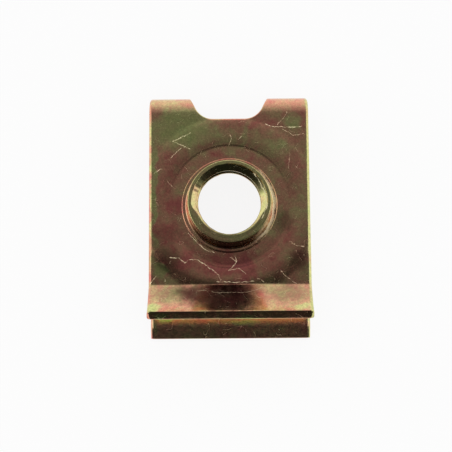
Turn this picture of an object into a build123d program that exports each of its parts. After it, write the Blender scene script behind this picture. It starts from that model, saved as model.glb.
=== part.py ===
from build123d import *
import os
from math import radians, tan

# Extruded U-type clip nut for a metric 6 mm screw, folded from one strip of spring steel.
# Millimetres. The screw axis is Z, and Z = 0 is the outer face of the plain back leaf.
# The barrel points to +Z, the fold lies at +Y and both leaves open to -Y.

# Strip
sheet = 0.8
strip_width = 13.0
edge_roll = 0.25

# Fold and leaves, with the reaches counted from the screw axis
panel_gap = 1.6
fold_reach = 7.6
front_reach = 6.33
back_reach = 9.4

# Lip at the mouth of the front leaf: a tight crease and then a wide curl
crease_radius = 0.25
crease_angle = 33
lip_radius = 11.3
lip_angle = 14.5

# Lead-in at the mouth of the back leaf
lead_in_radius = 1.0
lead_in_angle = 20
lead_in_length = 0.6

# Relief notch through the middle of the fold
notch_inset = 0.44
notch_floor = 2.56
notch_corner_radius = 1.57
notch_corner_angle = 67

# Drawn barrel and its bore, before the thread is cut
bore_radius = 2.5
mouth_bevel = 0.32
mouth_angle = 35
barrel_height = 1.9
rim_radius = 3.3
rim_round = 0.07
barrel_draft = 4
foot_radius = 0.18
draw_radius = 1.0

# Rings that the drawing tool leaves about the barrel
recess_radius = 5.1
recess_depth = 0.045
recess_bevel = 0.3
bead_radius = 7.35
bead_height = 0.11
coin_width = 0.2
coin_height = 0.04

# Clearance hole in the back leaf
clearance_radius = 3.3
clearance_roll = 0.15

# Levels and edges that follow from the sizes above
fold_radius = panel_gap / 2 + sheet
front_face = 2 * fold_radius
front_underside = front_face - sheet
recess_face = front_face - recess_depth
coin_face = recess_face + coin_height
barrel_top = front_face + barrel_height
mouth_level = barrel_top - mouth_bevel * tan(radians(mouth_angle))
barrel_foot_radius = rim_radius + (barrel_top - coin_face) * tan(radians(barrel_draft))
coin_radius = barrel_foot_radius + foot_radius + coin_width
bead_end_y = -front_reach - bead_height / tan(radians(crease_angle))
notch_floor_y = fold_reach - notch_inset
notch_end_y = fold_reach + fold_radius + sheet


def is_long_edge(edge):
    """True for the edges that run along the strip, and not through its thickness."""
    return abs(edge.length - sheet) > edge_roll / 10


def strip_side(depth):
    """One face of the strip in side view, at a depth under the outer face, with its two ends."""
    back_leaf = Line((-back_reach, depth), (fold_reach, depth))
    lead_in_bend = JernArc(back_leaf @ 0, (-1, 0), lead_in_radius + depth, lead_in_angle)
    lead_in = Line(lead_in_bend @ 1, lead_in_bend @ 1 + lead_in_bend % 1 * lead_in_length)
    fold = JernArc(back_leaf @ 1, (1, 0), fold_radius - depth, 180)
    front_leaf = Line(fold @ 1, (-front_reach, front_face - depth))
    crease = JernArc(front_leaf @ 1, (-1, 0), crease_radius + depth, -crease_angle)
    lip = JernArc(crease @ 1, crease % 1, lip_radius + depth, -lip_angle)
    return lead_in @ 1, lip @ 1


# The low bead that rings the recess, cut off where it runs into the lip and the notch
with BuildPart() as bead:
    with BuildSketch(Plane.XZ) as bead_profile:
        with BuildLine():
            crown = ThreePointArc(
                (recess_radius, front_face),
                ((recess_radius + bead_radius) / 2, front_face + bead_height),
                (bead_radius, front_face),
            )
            Polyline(
                crown @ 1,
                (bead_radius, front_underside),
                (recess_radius, front_underside),
                crown @ 0,
            )
        make_face()
    revolve(axis=Axis.Z)
    with BuildSketch(Plane.XY.offset(front_underside)) as flat_of_leaf:
        with BuildLine():
            Polyline(
                (-strip_width / 2 + edge_roll, bead_end_y),
                (strip_width / 2 - edge_roll, bead_end_y),
                (strip_width / 2 - edge_roll, notch_floor_y),
                (-strip_width / 2 + edge_roll, notch_floor_y),
                close=True,
            )
        make_face()
    extrude(amount=sheet + bead_height, mode=Mode.INTERSECT)

with BuildPart() as clip_nut:
    # Side view of the strip, from the lead-in round the fold to the lip
    with BuildSketch(Plane.YZ) as strip_section:
        with BuildLine():
            outer_start, outer_end = strip_side(0)
            inner_start, inner_end = strip_side(sheet)
            Line(outer_start, inner_start)
            Line(outer_end, inner_end)
        make_face()
    extrude(amount=strip_width / 2, both=True)
    for side_face in clip_nut.faces().filter_by(Axis.X):
        fillet(side_face.edges().filter_by(is_long_edge), radius=edge_roll)

    add(bead.part)

    # Recess about the barrel, and the hole in the sheet that the barrel's wall fills
    with BuildSketch(Plane.XZ) as recess_section:
        with BuildLine():
            Polyline(
                (0, recess_face),
                (recess_radius - recess_bevel, recess_face),
                (recess_radius, front_face + bead_height),
                (0, front_face + bead_height),
                close=True,
            )
        make_face()
    revolve(axis=Axis.Z, mode=Mode.SUBTRACT)
    with BuildSketch(Plane.XY.offset(front_underside)) as drawn_hole:
        Circle(bore_radius + draw_radius)
    extrude(amount=sheet, mode=Mode.SUBTRACT)

    # Barrel: coined ring, foot fillet, drafted wall, rounded rim, bevelled mouth, bore and draw radius
    with BuildSketch(Plane.XZ) as barrel_section:
        with BuildLine():
            rim = Line((rim_radius, barrel_top), (bore_radius + mouth_bevel, barrel_top))
            mouth = Line(rim @ 1, (bore_radius, mouth_level))
            bore = Line(mouth @ 1, (bore_radius, front_underside + draw_radius))
            draw = JernArc(bore @ 1, bore % 1, draw_radius, 90)
            Polyline(
                draw @ 1,
                (coin_radius, front_underside),
                (coin_radius, coin_face),
                (barrel_foot_radius, coin_face),
                rim @ 0,
            )
        make_face()
        fillet(barrel_section.vertices().sort_by_distance((barrel_foot_radius, coin_face))[0], foot_radius)
        fillet(barrel_section.vertices().sort_by_distance((rim_radius, barrel_top))[0], rim_round)
    revolve(axis=Axis.Z)

    # Clearance hole for the screw, with the rolled rim that its punch leaves on the outer face
    with BuildSketch(Plane.XY) as clearance_circle:
        Circle(clearance_radius)
    extrude(amount=sheet, mode=Mode.SUBTRACT)
    clearance_rim = clip_nut.edges().filter_by(GeomType.CIRCLE).sort_by_distance((0, 0, 0))[0]
    fillet(clearance_rim, radius=clearance_roll)

    # Relief notch, punched through both leaves at the fold
    with BuildSketch(Plane.XY) as notch_outline:
        with BuildLine():
            floor_half = Line((0, notch_floor_y), (notch_floor / 2, notch_floor_y))
            corner = JernArc(floor_half @ 1, floor_half % 1, notch_corner_radius, notch_corner_angle)
            rise = notch_end_y - (corner @ 1).Y
            side_end = corner @ 1 + corner % 1 * (rise / (corner % 1).Y)
            Polyline(corner @ 1, side_end, (0, notch_end_y), floor_half @ 0)
        make_face()
        mirror(about=Plane.YZ)
    extrude(amount=front_face, mode=Mode.SUBTRACT)

clip_nut.part.label = "clip_nut"
os.makedirs("parts", exist_ok=True)
export_step(clip_nut.part, "parts/clip_nut.step")
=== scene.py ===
import bmesh
import bpy
from math import atan, atan2, asin, cos, floor, hypot, pi, radians, sin, tan
from mathutils import Matrix, Vector, noise


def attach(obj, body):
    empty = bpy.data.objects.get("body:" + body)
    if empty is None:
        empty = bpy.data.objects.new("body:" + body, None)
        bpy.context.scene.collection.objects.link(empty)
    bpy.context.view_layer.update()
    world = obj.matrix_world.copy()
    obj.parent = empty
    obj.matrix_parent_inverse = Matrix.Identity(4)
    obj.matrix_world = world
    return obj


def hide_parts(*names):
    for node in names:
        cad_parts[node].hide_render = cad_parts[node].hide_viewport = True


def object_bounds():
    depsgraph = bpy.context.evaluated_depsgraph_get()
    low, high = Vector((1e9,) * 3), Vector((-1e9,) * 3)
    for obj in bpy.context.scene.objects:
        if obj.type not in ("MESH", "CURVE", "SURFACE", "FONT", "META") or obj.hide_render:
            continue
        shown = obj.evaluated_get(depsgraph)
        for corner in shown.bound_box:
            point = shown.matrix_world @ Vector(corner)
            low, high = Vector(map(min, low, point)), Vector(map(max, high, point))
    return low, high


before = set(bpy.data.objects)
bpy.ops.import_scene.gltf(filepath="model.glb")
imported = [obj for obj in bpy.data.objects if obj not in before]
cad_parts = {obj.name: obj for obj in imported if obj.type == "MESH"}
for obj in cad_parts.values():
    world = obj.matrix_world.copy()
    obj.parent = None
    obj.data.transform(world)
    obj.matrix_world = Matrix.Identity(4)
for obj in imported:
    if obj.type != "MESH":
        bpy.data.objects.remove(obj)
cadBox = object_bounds()
mm = 0.001
scene = bpy.context.scene
scene.view_settings.view_transform = "Standard"
print("frame loaded, box in mm:", [[round(c / mm, 2) for c in corner] for corner in cadBox])


def ease(t):
    t = min(1.0, max(0.0, t))
    return t * t * (3 - 2 * t)


def spread(low, high, count):
    return [low + (high - low) * i / count for i in range(count + 1)]


def screenColor(red, green, blue):  # 0 to 255, as seen on screen
    return tuple(c / 255 / 12.92 if c < 10.3 else ((c / 255 + 0.055) / 1.055) ** 2.4
                 for c in (red, green, blue)) + (1.0,)


# The clip is one strip, punched and drawn in the flat, then folded. Millimetres and degrees.
clip = {
    "sheet": 0.8, "width": 13.0, "panelGap": 1.6,
    "sideRoll": 0.25, "endRoll": 0.07, "punchRoll": 0.1,
    "foldReach": 7.6, "frontReach": 6.33, "backReach": 9.4,
    "creaseRadius": 0.25, "creaseAngle": 33, "lipRadius": 11.3, "lipAngle": 14.5,
    "leadInRadius": 1.0, "leadInAngle": 20, "leadInLength": 0.6,
    "clearance": 3.3,
    "notchInset": 0.44, "notchFloor": 2.56, "notchCorner": 1.57, "notchAngle": 67,
    "support": 0.05, "frameInset": 0.3, "notchHalf": 3.7, "tipStart": 0.2,  # where the mesh changes step
    "holeGaps": (0.25, 0.6, 1.0, 1.5, 2.0), "notchGaps": (0.2, 0.45),  # rings outside a cut edge
    "acrossSteps": 60, "holeSteps": 58, "foldSteps": 46, "lipSteps": 34,
    "swell": 0.008, "swellLength": 2.4,
}
barrel = {
    "bore": 2.5, "mouthNear": 2.68, "mouthFar": 3.0, "mouthAngle": 35,
    "mouthBurr": 0.05, "burrScale": 9,
    "openFrom": -0.45, "openOver": 0.4,  # as the sine of the angle
    "height": 1.9, "rim": 3.3, "rimRound": 0.07,
    "draft": 4, "foot": 0.18, "coin": 0.2, "coinStep": 0.04, "draw": 1.0,
    "recess": 5.1, "recessDepth": 0.045, "recessBevel": 0.3,
    "bead": 7.35, "beadHeight": 0.11, "beadLean": 0.03, "fade": 0.7,
    "pitch": 1.0, "threadDepth": 0.5, "crestAtTop": 4.7,
    "boreSteps": 64, "drawSteps": 24,
    "footGap": 0.2, "recessGaps": (0.05, 0.15, 0.3), "drawGaps": (0.3, 0.8, 1.3, 1.8),  # rings outside them
}
foldRadius = clip["panelGap"] / 2 + clip["sheet"]
frontFace = 2 * foldRadius
flatHalf = clip["width"] / 2 - clip["sideRoll"]  # from the middle to where the side edge rolls over


# Outer face seen from the side: lead-in, back leaf, fold, front leaf, crease, lip
def stripLegs():
    lead, crease, lip = (radians(clip[k]) for k in ("leadInAngle", "creaseAngle", "lipAngle"))
    bends = [  # length along the strip and the angle it turns through
        (clip["leadInLength"], 0),
        (clip["leadInRadius"] * lead, -lead),
        (clip["backReach"] + clip["foldReach"], 0),
        (pi * foldRadius, pi),
        (clip["foldReach"] + clip["frontReach"], 0),
        (clip["creaseRadius"] * crease, -crease),
        (clip["lipRadius"] * lip, -lip),
    ]
    y = -clip["backReach"] - clip["leadInRadius"] * sin(lead) - clip["leadInLength"] * cos(lead)
    z = -clip["leadInRadius"] * (1 - cos(lead)) - clip["leadInLength"] * sin(lead)
    heading, start, placed = lead, 0, []
    for length, turn in bends:
        placed.append((start, length, turn, y, z, heading))
        y, z, heading = alongLeg(placed[-1], length)
        start += length
    return placed, start


def alongLeg(leg, distance):
    start, length, turn, y, z, heading = leg
    if not turn:
        return y + distance * cos(heading), z + distance * sin(heading), heading
    radius, end = length / turn, heading + distance * turn / length
    return y + radius * (sin(end) - sin(heading)), z - radius * (cos(end) - cos(heading)), end


legs, stripLength = stripLegs()
backCentre = legs[2][0] + clip["backReach"]
foldCentre = legs[3][0] + legs[3][1] / 2
frontStart, creaseStart, lipStart = legs[4][0], legs[5][0], legs[6][0]
frontCentre = frontStart + clip["foldReach"]


def bent(x, s, depth):  # a point of the flat strip, carried to its place in the folded one
    leg = [one for one in legs if one[0] <= s or one is legs[0]][-1]
    y, z, heading = alongLeg(leg, s - leg[0])
    return Vector((x, y - depth * sin(heading), z + depth * cos(heading)))


def crown(x, s):  # height of the bead about the recess, fuller toward the mouth
    r = hypot(x, s - frontCentre)
    inner, outer = barrel["recess"], barrel["bead"]
    height = barrel["beadHeight"] + barrel["beadLean"] * (s - frontCentre) / r if r > inner else 0
    return height * max(0, 1 - ((2 * r - inner - outer) / (outer - inner)) ** 2)


def relief(x, s):  # what the drawing tool's print and the sheet's swell add to the outer face
    if s < frontStart:
        return 0
    swell = clip["swell"] * noise.noise(Vector((x, s, 0)) / clip["swellLength"]) * ease(s - frontStart)
    return swell + toolPrint(x, s)


def toolPrint(x, s):
    if s > creaseStart:  # the bead runs out up the lip
        return crown(x, creaseStart) * (stripLength - s) / (stripLength - creaseStart)
    hollow = 1 - ease((hypot(x, s - frontCentre) - barrel["recess"]) / barrel["recessBevel"] + 1)
    return crown(x, s) * ease((s - frontStart) / barrel["fade"]) - barrel["recessDepth"] * hollow


verts, faces, known = [], [], {}


def place(position):
    verts.append(position)
    return len(verts) - 1


def sheetPoint(x, s, inside):  # shared by every patch that meets there
    key = (round(x, 4), round(s, 4), inside)
    if key not in known:
        known[key] = place(bent(x, s, clip["sheet"] if inside else -relief(x, s)))
    return known[key]


def bridge(first, second, closed=True):  # quads between two rows of points
    for i in range(len(first) if closed else len(first) - 1):
        j = (i + 1) % len(first)
        faces.append((first[i], first[j], second[j], second[i]))


# Stations across the strip, with a tight pair beside each rolled edge
across = [-flatHalf] + spread(-flatHalf + clip["support"], flatHalf - clip["support"],
                              clip["acrossSteps"]) + [flatHalf]


def band(stations, inside):
    rows = [[sheetPoint(x, s, inside) for x in across] for s in stations]
    for low, high in zip(rows, rows[1:]):
        bridge(low, high, closed=False)


def frameLoop(stations):  # round the rim of a patch, anticlockwise from its first corner
    low, high = stations[0], stations[-1]
    return ([(x, low) for x in across[:-1]] + [(flatHalf, s) for s in stations[:-1]]
            + [(x, high) for x in across[:0:-1]] + [(-flatHalf, s) for s in stations[:0:-1]])


def patch(stations, rings, inside, blend=12):  # from the innermost ring out to a straight frame
    rim = frameLoop(stations)
    rows = [[sheetPoint(x, s, inside) for x, s in ring] for ring in rings]
    for k in range(1, blend):
        t = k / blend
        rows.append([sheetPoint(a + (c - a) * t, b + (d - b) * t, inside)
                     for (a, b), (c, d) in zip(rings[-1], rim)])
    rows.append([sheetPoint(x, s, inside) for x, s in rim])
    for low, high in zip(rows, rows[1:]):
        bridge(low, high)


def onCircle(points, centre, radius):  # the same points, moved in or out to one radius
    ring = []
    for x, s in points:
        away = hypot(x, s - centre)
        ring.append((x / away * radius, centre + (s - centre) / away * radius))
    return ring


def rolledWall(outline, push, rolls, fadeRelief=False, steps=5, middle=4):
    # outline is the edge of both faces, push the way out to the cut wall, rolls each point's radius
    turns = [radians(90 * k / steps) for k in range(1, steps + 1)]
    top = [(sin(a), 1 - cos(a)) for a in turns]
    rows = [[sheetPoint(x, s, 0) for x, s in outline]]
    for out, down in top:
        rows.append([place(bent(x + px * out, s + ps * out, roll * down
                                - (relief(x, s) * (1 - down) if fadeRelief else 0)))
                     for (x, s), (px, ps), roll in zip(outline, push, rolls)])
    for k in range(1, middle):
        rows.append([place(bent(x + px, s + ps, roll + (clip["sheet"] - 2 * roll) * k / middle))
                     for (x, s), (px, ps), roll in zip(outline, push, rolls)])
    for out, down in reversed(top):
        rows.append([place(bent(x + px * out, s + ps * out, clip["sheet"] - roll * down))
                     for (x, s), (px, ps), roll in zip(outline, push, rolls)])
    rows.append([sheetPoint(x, s, 1) for x, s in outline])
    for low, high in zip(rows, rows[1:]):
        bridge(low, high)


def notchOutline():  # quarter of the punched slot, from the middle of its floor to the fold's crown
    floorY = clip["foldReach"] - clip["notchInset"]
    half, r, turn = clip["notchFloor"] / 2, clip["notchCorner"], radians(clip["notchAngle"])
    flat = [(half * k / 8, floorY) for k in range(8)]
    corner = [(half + r * sin(turn * k / 16), floorY + r * (1 - cos(turn * k / 16))) for k in range(17)]
    x0, y0 = corner[-1]
    crownY = clip["foldReach"] + foldRadius
    side = [(x0 + (y - y0) / tan(turn), y) for y in spread(y0, crownY, 40)[1:]]
    quarter = []
    for x, y in flat + corner + side:
        past = min(1, (y - clip["foldReach"]) / foldRadius)
        s = frontStart - foldRadius * asin(past) if past > 0 else frontStart + clip["foldReach"] - y
        quarter.append((x, s - foldCentre))
    upper = quarter + [(x, -s) for x, s in quarter[-2::-1]]
    whole = upper + [(-x, s) for x, s in upper[-2:0:-1]]
    return sorted((atan2(s, x), hypot(x, s)) for x, s in whole)


def notchRings(stations, gaps):
    shape = notchOutline()
    loop = []
    for x, s in frameLoop(stations):
        angle = atan2(s - foldCentre, x)
        after = next((i for i, (a, r) in enumerate(shape) if a > angle), 0)
        (a0, r0), (a1, r1) = shape[after - 1], shape[after]
        share = ((angle - a0) % (2 * pi)) / ((a1 - a0) % (2 * pi))
        radius = r0 + (r1 - r0) * share
        loop.append((radius * cos(angle), foldCentre + radius * sin(angle)))
    outward = []
    for i in range(len(loop)):
        before, after = loop[i - 1], loop[(i + 1) % len(loop)]
        dx, ds = after[0] - before[0], after[1] - before[1]
        outward.append((ds / hypot(dx, ds), -dx / hypot(dx, ds)))
    return [[(x + nx * gap, s + ns * gap) for (x, s), (nx, ns) in zip(loop, outward)]
            for gap in gaps], [(-nx, -ns) for nx, ns in outward]


def mouthRadius(angle):  # inner edge of the rim, wide and ragged where the thread breaks out
    near, far = barrel["mouthNear"], barrel["mouthFar"]
    ragged = barrel["mouthBurr"] * noise.noise(Vector((cos(angle), sin(angle), 0.3)) * barrel["burrScale"])
    opening = ease((sin(angle) - barrel["openFrom"]) / barrel["openOver"])
    return near + (far - near + ragged) * opening


def boreRadius(angle, z):  # wall of the tapped bore, with a flank that rises to the mouth
    turn = (z - barrel["crestAtTop"]) / barrel["pitch"] - (angle - pi / 2) / (2 * pi)
    away = abs(turn - floor(turn + 0.5))  # in turns, from the nearest crest
    crestHalf, flank = 1 / 16, 5 / 16
    groove = barrel["bore"] + barrel["threadDepth"] * min(1, max(0, (away - crestHalf) / flank))
    mouth, down = mouthRadius(angle), frontFace + barrel["height"] - z
    return max(barrel["bore"], mouth - down / tan(radians(barrel["mouthAngle"])), min(groove, mouth + down))


def barrelOutside():  # radius and height, from the coined ring at the foot up to the flat of the rim
    draft, floorZ = radians(barrel["draft"]), frontFace - barrel["recessDepth"]
    top, corner = frontFace + barrel["height"], barrel["rimRound"]
    foot, step = barrel["foot"], barrel["coinStep"]
    z = floorZ + step + foot
    wall = barrel["rim"] + (top - z) * tan(draft)
    centre = wall + foot / cos(draft)
    outside = [(centre + barrel["coin"] + step * t, floorZ + step * ease(1 - t)) for t in spread(1, 0, 4)]
    outside += [(centre + barrel["coin"] * t, floorZ + step) for t in (0.5, 0.15)]
    outside += [(centre + foot * cos(a), z + foot * sin(a)) for a in spread(1.5 * pi, pi + draft, 7)]
    r0, z0 = outside[-1]
    r1, z1 = barrel["rim"] - corner + corner * cos(draft), top - corner + corner * sin(draft)
    outside += [(r0 + (r1 - r0) * t, z0 + (z1 - z0) * t) for t in spread(0, 1, 8)[1:]]
    return outside + [(barrel["rim"] - corner + corner * cos(a), top - corner + corner * sin(a))
                      for a in spread(draft, pi / 2, 5)[1:]]


def buildBarrel(ring):  # outside wall, rim, tapped bore and draw radius, on the ring of the front face
    angles = [atan2(frontCentre - s, x) for x, s in ring]
    top, under = frontFace + barrel["height"], frontFace - clip["sheet"]
    bore, draw = barrel["bore"], barrel["draw"]
    rows = [[sheetPoint(x, s, 0) for x, s in ring]]

    def addRow(radiusAt, z):
        rows.append([place(Vector((radiusAt(a) * cos(a), radiusAt(a) * sin(a), z))) for a in angles])

    for r, z in barrelOutside()[1:]:
        addRow(lambda a: r, z)
    for t in (0.5, 0.85):
        addRow(lambda a: r + (boreRadius(a, top) - r) * t, top)
    for z in spread(top, under + draw, barrel["boreSteps"]):
        addRow(lambda a: boreRadius(a, z), z)
    for turn in spread(0, pi / 2, barrel["drawSteps"])[1:-1]:
        z = under + draw * (1 - sin(turn))
        addRow(lambda a: max(bore + draw * (1 - cos(turn)), boreRadius(a, z)), z)
    rows.append([sheetPoint(x, s, 1) for x, s in onCircle(ring, frontCentre, bore + draw)])
    for low, high in zip(rows, rows[1:]):
        bridge(low, high)


def buildClearanceHole(stations):  # in the back leaf
    roll = clip["punchRoll"]
    wallAt = clip["clearance"] + roll
    gaps = (0, clip["support"], *clip["holeGaps"])
    rings = [onCircle(frameLoop(stations), backCentre, wallAt + gap) for gap in gaps]
    patch(stations, rings, 0)
    patch(stations, rings, 1)
    inward = [((0 - x) / wallAt * roll, (backCentre - s) / wallAt * roll) for x, s in rings[0]]
    rolledWall(rings[0], inward, [roll] * len(inward))


def buildNotch(stations):  # through the fold
    roll = clip["punchRoll"]
    rings, inward = notchRings(stations, [roll + gap for gap in (0, clip["support"], *clip["notchGaps"])])
    patch(stations, rings, 0)
    patch(stations, rings, 1)
    rolledWall(rings[0], [(x * roll, s * roll) for x, s in inward], [roll] * len(inward))


def buildFront(stations):  # recess and bead of the front leaf, and the barrel in their middle
    rim, support = frameLoop(stations), clip["support"]
    foot, edge, bevel = barrelOutside()[0][0], barrel["recess"], barrel["recessBevel"]
    radii = [foot, foot + support, *spread(foot + barrel["footGap"], edge - bevel - support, 5),
             *spread(edge - bevel, edge, 5), *(edge + gap for gap in barrel["recessGaps"])]
    rings = [onCircle(rim, frontCentre, radius) for radius in radii]
    patch(stations, rings, 0)
    drawn = barrel["bore"] + barrel["draw"]
    patch(stations, [onCircle(rim, frontCentre, drawn + gap) for gap in (0, support, *barrel["drawGaps"])], 1)
    buildBarrel(rings[0])


def buildEdges(stations):  # long sides and cut ends
    outline = frameLoop(stations)
    push, rolls = [], []
    for x, s in outline:
        side, end = abs(x) >= flatHalf - 1e-6, s in (stations[0], stations[-1])
        push.append(((1 if x > 0 else -1) * clip["sideRoll"] * side,
                     (1 if s > foldCentre else -1) * clip["endRoll"] * end))
        rolls.append(clip["sideRoll"] if side else clip["endRoll"])
    rolledWall(outline, push, rolls, fadeRelief=True)


def buildClip():
    support, endRoll, slot = clip["support"], clip["endRoll"], clip["notchHalf"]
    half, holeSteps, tipEnd = flatHalf - clip["frameInset"], clip["holeSteps"], legs[2][0]
    back = spread(backCentre - half, backCentre + half, holeSteps)
    fold = spread(foldCentre - slot, foldCentre + slot, clip["foldSteps"])
    front = spread(frontCentre - half, frontCentre + half, holeSteps)
    tip = [endRoll, endRoll + support] + spread(clip["tipStart"], tipEnd, 9) + spread(tipEnd, back[0], 12)[1:]
    backToFold, foldToFront = spread(back[-1], fold[0], 6), spread(fold[-1], front[0], 3)
    lipEnd = stripLength - endRoll
    lip = ([front[-1], creaseStart - support] + spread(creaseStart, lipStart, 3)
           + spread(lipStart, lipEnd - support, clip["lipSteps"])[1:] + [lipEnd])
    for inside in (0, 1):
        for stations in (tip, backToFold, foldToFront, lip):
            band(stations, inside)
    buildClearanceHole(back)
    buildNotch(fold)
    buildFront(front)
    buildEdges(sorted(set(round(s, 6) for part in (tip, back, backToFold, fold, foldToFront, front, lip)
                          for s in part)))


def smoothOutward(mesh):
    work = bmesh.new()
    work.from_mesh(mesh)
    bmesh.ops.recalc_face_normals(work, faces=work.faces)
    work.to_mesh(mesh)
    work.free()
    mesh.shade_smooth()


buildClip()
mesh = bpy.data.meshes.new("clipNut")
mesh.from_pydata([v * mm for v in verts], [], faces)
smoothOutward(mesh)
clipNut = bpy.data.objects.new("clipNut", mesh)
scene.collection.objects.link(clipNut)
print("strip, barrel and thread made:", len(verts), "points")


# Node helpers
def addNode(tree, kind, values={}, **settings):
    node = tree.nodes.new(kind)
    for name, value in settings.items():
        setattr(node, name, value)
    for name, value in values.items():
        if isinstance(value, bpy.types.NodeSocket):
            tree.links.new(value, node.inputs[name])
        else:
            node.inputs[name].default_value = value
    return node


def calc(tree, operation, *values, clamp=False):
    node = addNode(tree, "ShaderNodeMath", dict(enumerate(values)), operation=operation, use_clamp=clamp)
    return node.outputs[0]


def mixColor(tree, share, first, second):
    return addNode(tree, "ShaderNodeMix", {0: share, 6: first, 7: second}, data_type="RGBA").outputs[2]


def remap(tree, value, fromLow, fromHigh, toLow=0.0, toHigh=1.0, smooth=True):
    kind = "SMOOTHSTEP" if smooth else "LINEAR"
    node = addNode(tree, "ShaderNodeMapRange", {0: value, 1: fromLow, 2: fromHigh, 3: toLow, 4: toHigh},
                   interpolation_type=kind)
    return node.outputs[0]


def ramp(tree, value, stops):
    node = addNode(tree, "ShaderNodeValToRGB", {0: value})
    elements = node.color_ramp.elements
    while len(elements) < len(stops):
        elements.new(0.5)
    for element, (position, color) in zip(elements, stops):
        element.position, element.color = position, color
    return node.outputs[0]


def newGroup(name, inputs, outputs):
    group = bpy.data.node_groups.new(name, "ShaderNodeTree")
    for socket, kind, value in inputs:
        made = group.interface.new_socket(socket, in_out="INPUT", socket_type="NodeSocket" + kind)
        if value is not None:
            made.default_value = value
    for socket, kind in outputs:
        group.interface.new_socket(socket, in_out="OUTPUT", socket_type="NodeSocket" + kind)
    return group, group.nodes.new("NodeGroupInput").outputs, group.nodes.new("NodeGroupOutput").inputs


def useGroup(tree, group, values):
    return addNode(tree, "ShaderNodeGroup", values, node_tree=group).outputs


# Finish: yellow chromate over zinc, a clear film whose thickness sets its colour
finish = {
    "thickness": 0.56, "clouds": 0.16, "patches": 0.12,  # of the film, 0 to 1, and how far it drifts
    "leftSide": 0.1, "rightSide": -0.3, "barrel": -0.27,  # how the film changes there
    # the last three set how dark the patches, the painted reflection on the lip and the painted shade in the
    # bore and on the wall get
    "mottleDark": 0.7, "mottleBright": 1.18, "patchDarkest": 0.15, "shadeDarkest": 0.5, "mouthShade": 0.5,
    "waveBump": 0.006, "grainBump": 0.002,  # heights in mm
    "roughness": 0.13, "smudge": 0.08,
    "scratchWidth": 0.046, "wander": 0.16, "tremble": 0.075,  # in mm
    "markAndGlintColor": (255, 242, 200), "scratchRough": 0.55, "scatter": 0.7, "scratchGap": 0.28,
    "hairScale": 0.8, "hairWidth": 0.005, "hairShare": 0.5, "hairStrength": 0.32,
    # the first two place and strengthen the painted highlight at the barrel's foot
    "glintRadius": 3.6, "footGlint": 0.6, "tipWear": 0.06,
}
zones = {  # where each zone starts and where it is full, in mm
    "leftSide": (-6.2, -6.4), "rightSide": (6.15, 6.35),
    "insideRim": (3.34, 3.26), "aboveFace": (3.3, 3.5),
    # these two lines place the painted shade in the bore and on the barrel's outside wall
    "insideBore": (3.02, 2.96), "boreTop": (3.7, 3.9), "foldSide": (0.7, 2.3), "mouthSide": (-0.9, -2.0),
    "wall": (3.24, 3.3), "wallEnd": (3.6, 3.5), "wallToMouth": (-1.2, -2.6),
    "patchedFrom": (1.8, 2.6), "marked": (2.9, 3.1),  # heights from which the front leaf has them
    # the first two place the painted highlight at the barrel's foot
    "glintBand": (0.17, 0.04), "glintRight": (1.6, 3.0), "tipHeight": (1.6, 1.2), "tipEnd": (-8.3, -8.9),
}
filmColors = [  # as screen colours under white light, from thin film to thick
    (0.00, screenColor(208, 217, 142)),
    (0.12, screenColor(215, 215, 142)),
    (0.28, screenColor(226, 217, 150)),
    (0.42, screenColor(228, 200, 146)),
    (0.55, screenColor(232, 181, 142)),
    (0.68, screenColor(236, 166, 138)),
    (0.80, screenColor(232, 142, 127)),
    (0.92, screenColor(224, 131, 124)),
    (1.00, screenColor(210, 126, 122)),
]
filmSpots = [  # middle and reach in mm, seen along the screw, and the change of thickness
    (-4.0, 6.3, 2.8, 1.6, -0.42),  # green corner by the fold
    (-4.8, 3.2, 1.6, 1.2, 0.12),
    (0.0, 5.4, 2.0, 1.3, -0.14),
    (2.7, 6.6, 1.2, 0.8, 0.2),
    (5.2, 6.9, 0.8, 0.6, -0.4),
    (3.7, 5.1, 0.9, 0.5, -0.2),
    (5.2, 3.4, 0.8, 1.2, 0.2),
    (-4.3, 0.1, 0.6, 0.9, 0.2),
    (-6.15, 1.0, 0.3, 5.0, -0.4),
    (0.0, -4.9, 4.2, 1.3, 0.2),  # red ground between the barrel and the lip
    (-5.1, -2.2, 1.2, 1.0, 0.18),
    (-5.2, 0.8, 0.9, 1.4, 0.14),
    (-5.6, -5.2, 0.6, 0.6, -0.5),
    (-6.2, -8.2, 0.7, 0.5, -0.5),
    (5.6, -8.3, 0.9, 0.3, -0.3),
    (-5.4, -8.9, 0.6, 0.35, -0.6),
    (-0.3, -7.3, 2.9, 1.1, 0.18),
    (-6.2, -9.4, 0.3, 1.0, -0.2),
    (1.0, -9.2, 1.6, 0.3, -0.35),
]
darkSpots = [  # the same, for darker patches that take the shine off: on the front leaf, and on the lip a painted dark reflection of the barrel
    (-4.9, -4.3, 1.1, 1.1, 0.42),
    (5.5, -4.5, 0.8, 0.9, 0.42),
    (4.2, -1.3, 0.9, 1.0, 0.4),
    (-5.1, -2.4, 1.2, 0.9, 0.25),
    (0.0, -4.4, 3.6, 1.1, 0.2),
    (-0.9, -7.0, 3.5, 0.9, 0.8),  # on the lip: painted dark reflection, before the barrel and at both sides
    (-0.6, -7.9, 3.1, 0.8, 0.8),
    (-4.6, -7.2, 1.8, 0.9, 0.36),
    (4.6, -7.2, 1.8, 0.9, 0.36),
]
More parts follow.
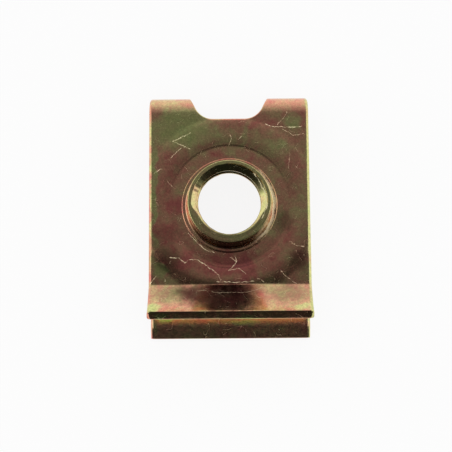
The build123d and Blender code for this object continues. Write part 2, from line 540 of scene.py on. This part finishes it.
scratchesAndGlints = [  # strength, then the way of each one in mm
    (0.8, (-3.1, 6.0), (-4.5, 5.3), (-3.2, 4.6)),
    (0.7, (-3.9, 4.7), (-4.7, 3.9)),
    (0.8, (-5.4, 3.0), (-6.1, 2.7)),
    (0.6, (4.8, 7.7), (4.5, 7.2), (3.9, 6.6)),
    (0.9, (3.0, 6.7), (3.7, 6.4), (4.9, 6.4), (5.9, 6.5)),
    (0.6, (4.4, 6.2), (4.8, 6.0), (5.2, 5.7), (6.1, 5.8)),
    (0.5, (4.9, 4.2), (4.8, 2.9)),
    (0.8, (0.1, 5.8), (0.2, 5.4), (-0.1, 4.9)),
    (0.7, (0.8, 5.4), (1.0, 5.6)),
    (0.9, (-4.8, -4.2), (-4.1, -4.2), (-3.6, -4.6), (-3.4, -4.4), (-2.5, -4.4), (-2.1, -4.7), (-1.3, -5.3)),
    (0.6, (-1.3, -5.3), (-1.0, -5.6), (-0.8, -6.1)),
    (1.0, (-6.4, -6.3), (-5.9, -5.7)),
    (1.0, (-5.2, -5.9), (-5.2, -6.2)),
    (0.9, (0.0, -4.2), (0.5, -4.6), (0.0, -5.2)),
    (0.8, (0.4, -4.2), (0.5, -4.6)),
    (0.7, (-0.1, -5.3), (0.7, -5.1), (1.2, -5.5)),
    (0.8, (2.1, -6.0), (2.5, -6.1), (2.7, -6.3)),
    (0.6, (4.1, -5.3), (4.5, -5.8), (5.3, -6.4)),
    (0.7, (4.8, -3.0), (5.3, -3.3), (5.9, -3.4)),
    (0.5, (-5.0, 2.1), (-4.9, 1.9), (-4.4, 1.4)),
    (0.9, (-3.34, -2.2), (-2.6, -3.1), (-1.9, -3.6), (-1.2, -3.85)),  # painted highlight along the barrel's foot
    (1.0, (1.9, 2.26), (2.55, 1.47), (2.92, 0.5), (2.92, -0.5), (2.55, -1.47)),  # burr at the thread's start, with its glints painted as pale marks
    (0.9, (-1.1, -6.2), (0.4, -6.25), (1.8, -6.2)),  # burr along the crease
    (0.3, (-2.6, -6.85), (-1.2, -7.05), (0.5, -7.1), (1.8, -6.95), (2.7, -6.7)),
]


def vectorCalc(tree, operation, *values):
    node = addNode(tree, "ShaderNodeVectorMath", dict(enumerate(values)), operation=operation)
    return node.outputs["Value" if operation in ("LENGTH", "DOT_PRODUCT", "DISTANCE") else "Vector"]


def times(tree, vector, factor):
    return addNode(tree, "ShaderNodeVectorMath", {0: vector, 3: factor}, operation="SCALE").outputs[0]


def millimetres(tree):
    return times(tree, addNode(tree, "ShaderNodeTexCoord").outputs["Object"], 1 / mm)


def noiseNode(tree, vector, scale, detail, rough, distortion, offset):
    moved = vectorCalc(tree, "ADD", vector, offset)
    return addNode(tree, "ShaderNodeTexNoise", {"Vector": moved, "Scale": scale, "Detail": detail,
                                                "Roughness": rough, "Distortion": distortion})


def noiseAt(tree, vector, scale, detail=2.0, rough=0.5, distortion=0.0, offset=(0, 0, 0)):
    return noiseNode(tree, vector, scale, detail, rough, distortion, offset).outputs[0]


def swing(tree, value, low, high):  # the middle of a noise's range, stretched from low to high
    return remap(tree, value, 0.3, 0.7, low, high, smooth=False)


def warped(tree, vector, scale, reach, detail=1.0, offset=(4, 6, 2)):  # pushed about by up to half the reach
    push = noiseNode(tree, vector, scale, detail, 0.5, 0.0, offset).outputs[1]
    centred = vectorCalc(tree, "SUBTRACT", push, (0.5, 0.5, 0.5))
    return vectorCalc(tree, "ADD", vector, vectorCalc(tree, "MULTIPLY", centred, (reach, reach, reach)))


def flattened(tree, vector):
    return vectorCalc(tree, "MULTIPLY", vector, (1, 1, 0))


def makeSpot():  # soft-edged patch round a place
    tree, given, wanted = newGroup("softSpot", [("Vector", "Vector", None), ("Middle", "Vector", None),
                                                ("Reach", "Vector", None)], [("Mask", "Float")])
    off = vectorCalc(tree, "SUBTRACT", given["Vector"], given["Middle"])
    off = vectorCalc(tree, "LENGTH", vectorCalc(tree, "DIVIDE", off, given["Reach"]))
    tree.links.new(remap(tree, off, 1.3, 0.4), wanted["Mask"])  # gone at 1.3 times the reach
    return tree


def makeLineMark():  # thin straight line between two places
    tree, given, wanted = newGroup("markAndGlint", [("Vector", "Vector", None), ("From", "Vector", None),
                                               ("To", "Vector", None), ("Width", "Float", 0.05)],
                                   [("Mask", "Float")])
    way = vectorCalc(tree, "SUBTRACT", given["To"], given["From"])
    here = vectorCalc(tree, "SUBTRACT", given["Vector"], given["From"])
    along = calc(tree, "DIVIDE", vectorCalc(tree, "DOT_PRODUCT", here, way),
                 vectorCalc(tree, "DOT_PRODUCT", way, way), clamp=True)
    off = vectorCalc(tree, "DISTANCE", here, times(tree, way, along))
    tree.links.new(remap(tree, off, given["Width"], 0.0), wanted["Mask"])
    return tree


def makeHairlines():  # faint wandering hairlines: where a slow noise passes through its middle value
    tree, given, wanted = newGroup("hairlines", [("Vector", "Vector", None), ("Scale", "Float", 1.0),
                                                 ("Width", "Float", 0.02), ("Amount", "Float", 0.5)],
                                   [("Mask", "Float")])
    path = noiseAt(tree, given["Vector"], given["Scale"], detail=1.0, distortion=0.2)
    off = calc(tree, "ABSOLUTE", calc(tree, "SUBTRACT", path, 0.5))
    line = remap(tree, off, given["Width"], 0.0)
    finer = calc(tree, "MULTIPLY", given["Scale"], 1.7)
    where = noiseAt(tree, given["Vector"], finer, offset=(31, 7, 3))
    share = remap(tree, where, calc(tree, "SUBTRACT", 1.0, given["Amount"]),
                  calc(tree, "SUBTRACT", 1.06, given["Amount"]))
    tree.links.new(calc(tree, "MULTIPLY", line, share), wanted["Mask"])
    return tree


def spotSum(tree, spots, vector, group):
    total = 0.0
    for x, y, reachX, reachY, amount in spots:
        mask = useGroup(tree, group, {"Vector": vector, "Middle": (x, y, 0),
                                      "Reach": (reachX, reachY, 1)})["Mask"]
        total = calc(tree, "MULTIPLY_ADD", mask, amount, total)
    return total


def makeFilm():  # thickness of the chromate film, and from it the colour, darkened by patches, painted reflection and painted shade
    tree, given, wanted = newGroup("chromateFilm", [("Vector", "Vector", None)], [("Color", "Color")])
    vector, spot = given["Vector"], makeSpot()
    x, y, z = addNode(tree, "ShaderNodeSeparateXYZ", {0: vector}).outputs
    away = vectorCalc(tree, "LENGTH", flattened(tree, vector))
    # thickness
    drift, patchy = finish["clouds"], finish["patches"]
    clouds = swing(tree, noiseAt(tree, vector, 0.4, detail=3.0, distortion=0.9), -drift, drift)
    patches = noiseAt(tree, vector, 1.5, detail=4.0, rough=0.6, distortion=0.5, offset=(9, 2, 5))
    patches = swing(tree, patches, -patchy, patchy)
    placed = spotSum(tree, filmSpots, flattened(tree, warped(tree, vector, 0.7, 1.6, detail=3.0)), spot)
    sides = calc(tree, "ADD", remap(tree, x, *zones["leftSide"], 0.0, finish["leftSide"]),
                 remap(tree, x, *zones["rightSide"], 0.0, finish["rightSide"]))
    inBarrel = calc(tree, "MULTIPLY", remap(tree, away, *zones["insideRim"]),
                    remap(tree, z, *zones["aboveFace"]))
    thick = calc(tree, "ADD", calc(tree, "ADD", clouds, patches), calc(tree, "ADD", placed, sides))
    thick = calc(tree, "ADD", calc(tree, "ADD", thick, finish["thickness"]),
                 calc(tree, "MULTIPLY", inBarrel, finish["barrel"]))
    # darker patches on the front leaf, painted dark reflection on the lip, painted shade in the bore and on
    # the barrel's outside wall toward the mouth
    wobbly = warped(tree, vector, 1.4, 1.1, detail=4.0, offset=(7, 1, 8))
    # darker patches on the front leaf, and the painted dark reflection on the lip
    darkPatches = spotSum(tree, darkSpots, flattened(tree, wobbly), spot)
    darkPatches = calc(tree, "MULTIPLY", darkPatches, remap(tree, z, *zones["patchedFrom"]))
    # painted shade inside the bore, deepest toward the fold and half as deep toward the mouth
    inBore = calc(tree, "MULTIPLY", remap(tree, away, *zones["insideBore"]),
                  remap(tree, z, *zones["boreTop"]))
    boreShadeSides = calc(tree, "ADD", remap(tree, y, *zones["foldSide"]),
                 remap(tree, y, *zones["mouthSide"], 0.0, finish["mouthShade"]))
    # painted shade on the barrel's outside wall toward the mouth
    wallShade = calc(tree, "MULTIPLY", remap(tree, away, *zones["wall"]), remap(tree, away, *zones["wallEnd"]))
    wallShade = calc(tree, "MULTIPLY", wallShade, remap(tree, y, *zones["wallToMouth"]))
    paintedShade = calc(tree, "MAXIMUM", calc(tree, "MULTIPLY", inBore, boreShadeSides), wallShade)
    shine = calc(tree, "MAXIMUM", calc(tree, "SUBTRACT", 1.0, darkPatches), finish["patchDarkest"])
    shine = calc(tree, "MULTIPLY", shine, remap(tree, paintedShade, 0.0, 1.0, 1.0, finish["shadeDarkest"]))
    mottle = swing(tree, noiseAt(tree, vector, 6.0, detail=4.0, rough=0.75, offset=(2, 4, 6)),
                   finish["mottleDark"], finish["mottleBright"])
    color = times(tree, ramp(tree, thick, filmColors), calc(tree, "MULTIPLY", shine, mottle))
    tree.links.new(color, wanted["Color"])
    return tree


def makeMarksAndGlints():  # every placed scratch and painted highlight, broken up along its way, a painted highlight band at the right of the barrel's foot, the worn tip, and faint hairlines
    tree, given, wanted = newGroup("marksAndGlints", [("Vector", "Vector", None)], [("Mask", "Float")])
    vector, line = given["Vector"], makeLineMark()
    wobbly = warped(tree, warped(tree, vector, 1.1, finish["wander"] * 2), 5.0, finish["tremble"] * 2)
    flat = flattened(tree, wobbly)
    total = 0.0
    for strength, *way in scratchesAndGlints:
        for start, end in zip(way, way[1:]):
            mask = useGroup(tree, line, {"Vector": flat, "From": (*start, 0), "To": (*end, 0),
                                         "Width": finish["scratchWidth"]})["Mask"]
            total = calc(tree, "MAXIMUM", total, calc(tree, "MULTIPLY", mask, strength))
    broken = remap(tree, noiseAt(tree, vector, 4.0), 0.34, 0.58, finish["scratchGap"], 1.0)
    x, y, z = addNode(tree, "ShaderNodeSeparateXYZ", {0: vector}).outputs
    # painted highlight: a pale band round the right of the barrel's foot
    fromBand = calc(tree, "SUBTRACT", vectorCalc(tree, "LENGTH", flat), finish["glintRadius"])
    footHighlight = calc(tree, "MULTIPLY", remap(tree, calc(tree, "ABSOLUTE", fromBand), *zones["glintBand"]),
                  remap(tree, x, *zones["glintRight"], 0.0, finish["footGlint"]))
    onFront = calc(tree, "MULTIPLY", calc(tree, "MAXIMUM", calc(tree, "MULTIPLY", total, broken), footHighlight),
                   remap(tree, z, *zones["marked"]))
    onTip = calc(tree, "MULTIPLY", remap(tree, z, *zones["tipHeight"]),
                 remap(tree, y, *zones["tipEnd"], 0.0, finish["tipWear"]))
    placed = calc(tree, "MAXIMUM", onFront, calc(tree, "MULTIPLY", onTip, broken))
    hairs = useGroup(tree, makeHairlines(), {"Vector": vector, "Scale": finish["hairScale"],
                                             "Width": finish["hairWidth"], "Amount": finish["hairShare"]})
    faint = calc(tree, "MULTIPLY", hairs["Mask"], finish["hairStrength"])
    tree.links.new(calc(tree, "MAXIMUM", placed, faint), wanted["Mask"])
    return tree


def chromateZinc():
    material = bpy.data.materials.new("yellowChromate")
    material.use_nodes = True
    tree = material.node_tree
    shader = tree.nodes["Principled BSDF"]
    vector = millimetres(tree)
    film = useGroup(tree, makeFilm(), {"Vector": vector})["Color"]
    markAndGlint = useGroup(tree, makeMarksAndGlints(), {"Vector": vector})["Mask"]
    # pale colour of the scratches and of the painted highlights
    color = mixColor(tree, markAndGlint, film, screenColor(*finish["markAndGlintColor"]))
    tree.links.new(color, shader.inputs["Base Color"])
    # a scratch scatters the light, so it is less of a mirror than the film; the painted highlights share this
    tree.links.new(calc(tree, "MULTIPLY_ADD", markAndGlint, -finish["scatter"], 1.0), shader.inputs["Metallic"])
    rough = calc(tree, "MULTIPLY_ADD", markAndGlint, finish["scratchRough"], finish["roughness"])
    touched = noiseAt(tree, vector, 2.2, detail=4.0, rough=0.6, distortion=0.2, offset=(3, 8, 1))
    smudge = remap(tree, touched, 0.4, 0.7, 0.0, finish["smudge"])
    tree.links.new(calc(tree, "ADD", rough, smudge), shader.inputs["Roughness"])
    wave = calc(tree, "MULTIPLY", noiseAt(tree, vector, 0.9), finish["waveBump"])
    grain = calc(tree, "MULTIPLY", noiseAt(tree, vector, 9.0, detail=3.0, rough=0.6), finish["grainBump"])
    height = calc(tree, "ADD", wave, grain)
    bump = addNode(tree, "ShaderNodeBump", {"Height": height, "Distance": mm, "Strength": 1.0})
    tree.links.new(bump.outputs[0], shader.inputs["Normal"])
    return material


clipNut.data.materials.append(chromateZinc())
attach(clipNut, "root")
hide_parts("clip_nut")
print("chromate finish on")


# Studio: pale floor, white surround, dark cards that only the metal's gloss sees. Millimetres.
studio = {
    "floorSize": 600, "floorColor": 0.85, "floorWhite": 0.88, "roomLight": 0.95,
    "height": 140, "front": -45, "back": 265, "nearHalf": 56, "farHalf": 190,  # overhead card
    "backFoot": -1,  # back card, which hangs from the overhead one
    "frontAway": -130, "frontFoot": -5, "frontHalf": 560, "frontFade": 0.08,  # front card, leaning back
}
overheadTones = [  # brightness the cards show, by their angle from overhead toward the fold
    (-16, 0.03), (-5, 0.06), (0, 0.11), (4, 0.135), (7, 0.145), (10, 0.185), (15, 0.17), (23, 0.19),
    (30, 0.27), (36, 0.37), (54, 0.58), (62, 0.68),
]
backTones = [(62, 0.68), (68, 0.76), (76, 0.84), (85, 0.88), (91, 0.95)]
frontTones = [(0, 0.022), (1, 0.03)]  # from the foot of the front card to its top


def seesWhite(tree):  # the camera, gloss and glass see white where the room is
    path = addNode(tree, "ShaderNodeLightPath").outputs
    return calc(tree, "MAXIMUM", path["Is Camera Ray"],
                calc(tree, "MAXIMUM", path["Is Glossy Ray"], path["Is Transmission Ray"]))


def makeWorld():
    world = bpy.data.worlds.new("room")
    world.use_nodes = True
    tree = world.node_tree
    shader = tree.nodes["Background"]
    light = (studio["roomLight"],) * 3 + (1,)
    tree.links.new(mixColor(tree, seesWhite(tree), light, (1, 1, 1, 1)), shader.inputs["Color"])
    scene.world = world


def flatMaterial(name):
    material = bpy.data.materials.new(name)
    material.use_nodes = True
    tree = material.node_tree
    tree.nodes.remove(tree.nodes["Principled BSDF"])
    return material, tree, tree.nodes["Material Output"].inputs["Surface"]


def plane(name, corners):
    mesh = bpy.data.meshes.new(name)
    mesh.from_pydata([Vector(c) * mm for c in corners], [], [(0, 1, 2, 3)])
    made = bpy.data.objects.new(name, mesh)
    scene.collection.objects.link(made)
    return made


def card(name, corners, tones, downward=False, fadeFrom=None):  # tones run to the back, or down the card
    made = plane(name, corners)
    material, tree, surface = flatMaterial(name)
    inBox = addNode(tree, "ShaderNodeTexCoord").outputs["Generated"]
    sideways, along, up = addNode(tree, "ShaderNodeSeparateXYZ", {0: inBox}).outputs
    run = calc(tree, "SUBTRACT", 1.0, up) if downward else along
    tone = ramp(tree, run, [(at, (grey, grey, grey, 1)) for at, grey in tones])
    if fadeFrom:  # toward both sides it fades to the room's white
        off = calc(tree, "ABSOLUTE", calc(tree, "MULTIPLY_ADD", sideways, 2.0, -1.0))
        tone = mixColor(tree, remap(tree, off, fadeFrom, 1.0), tone, (1, 1, 1, 1))
    glow = addNode(tree, "ShaderNodeEmission", {"Color": tone, "Strength": 1.0})
    tree.links.new(glow.outputs[0], surface)
    made.data.materials.append(material)
    made.visible_camera = made.visible_diffuse = made.visible_shadow = made.visible_transmission = False


def makeCards():
    high, front, back, foot = (studio[k] for k in ("height", "front", "back", "backFoot"))
    near, far = studio["nearHalf"], studio["farHalf"]
    card("overheadCard", [(-near, front, high), (near, front, high), (far, back, high), (-far, back, high)],
         [((high * tan(radians(angle)) - front) / (back - front), tone) for angle, tone in overheadTones])
    card("backCard", [(far, back, high), (-far, back, high), (-far, back, foot), (far, back, foot)],
         [(1 - (back / tan(radians(angle)) - foot) / (high - foot), tone) for angle, tone in backTones],
         downward=True)
    wide, away, low = studio["frontHalf"], studio["frontAway"], studio["frontFoot"]
    card("frontCard", [(-wide, away, low), (wide, away, low), (wide, front, high), (-wide, front, high)],
         frontTones, fadeFrom=studio["frontFade"])


def makeFloor():
    size, z = studio["floorSize"], cadBox[0][2] / mm
    ground = plane("floor", [(-size, -size, z), (size, -size, z), (size, size, z), (-size, size, z)])
    material, tree, surface = flatMaterial("paleFloor")
    matt = addNode(tree, "ShaderNodeBsdfDiffuse", {"Color": (studio["floorColor"],) * 3 + (1,)})
    white = addNode(tree, "ShaderNodeEmission", {"Color": (1, 1, 1, 1), "Strength": 1.0})
    share = calc(tree, "MULTIPLY", seesWhite(tree), studio["floorWhite"])
    both = addNode(tree, "ShaderNodeMixShader", {0: share, 1: matt.outputs[0], 2: white.outputs[0]})
    tree.links.new(both.outputs[0], surface)
    ground.data.materials.append(material)


makeWorld()
makeFloor()
makeCards()
print("studio set up")


# Camera over the clip, leaning back toward the mouth; the optical axis meets the picture's middle
shot = {
    "tilt": 9.83, "turn": 0.5,  # degrees
    "distance": 80.9, "lens": 80.13, "sensor": 36,  # mm
    "picture": 452, "hole": (229.5, 205.1),  # width of the picture and the hole's place in it, in pixels
}


def makeCamera():
    data = bpy.data.cameras.new("camera")
    data.lens, data.sensor_width, data.sensor_fit = shot["lens"], shot["sensor"], "HORIZONTAL"
    data.clip_start, data.clip_end = 1 * mm, 2000 * mm
    camera = bpy.data.objects.new("camera", data)
    scene.collection.objects.link(camera)
    tilt, distance, middle = radians(shot["tilt"]), shot["distance"], shot["picture"] / 2
    focal = shot["lens"] / shot["sensor"] * shot["picture"]
    right, up = (shot["hole"][0] - middle) / focal, (middle - shot["hole"][1]) / focal
    eye = Vector((0, -sin(tilt) * distance, frontFace + cos(tilt) * distance)) * mm
    aimed = (Matrix.Rotation(tilt, 4, "X") @ Matrix.Rotation(-radians(shot["turn"]), 4, "Z")
             @ Matrix.Rotation(atan(right), 4, "Y") @ Matrix.Rotation(-atan(up), 4, "X"))
    camera.matrix_world = Matrix.Translation(eye) @ aimed
    scene.camera = camera


makeCamera()
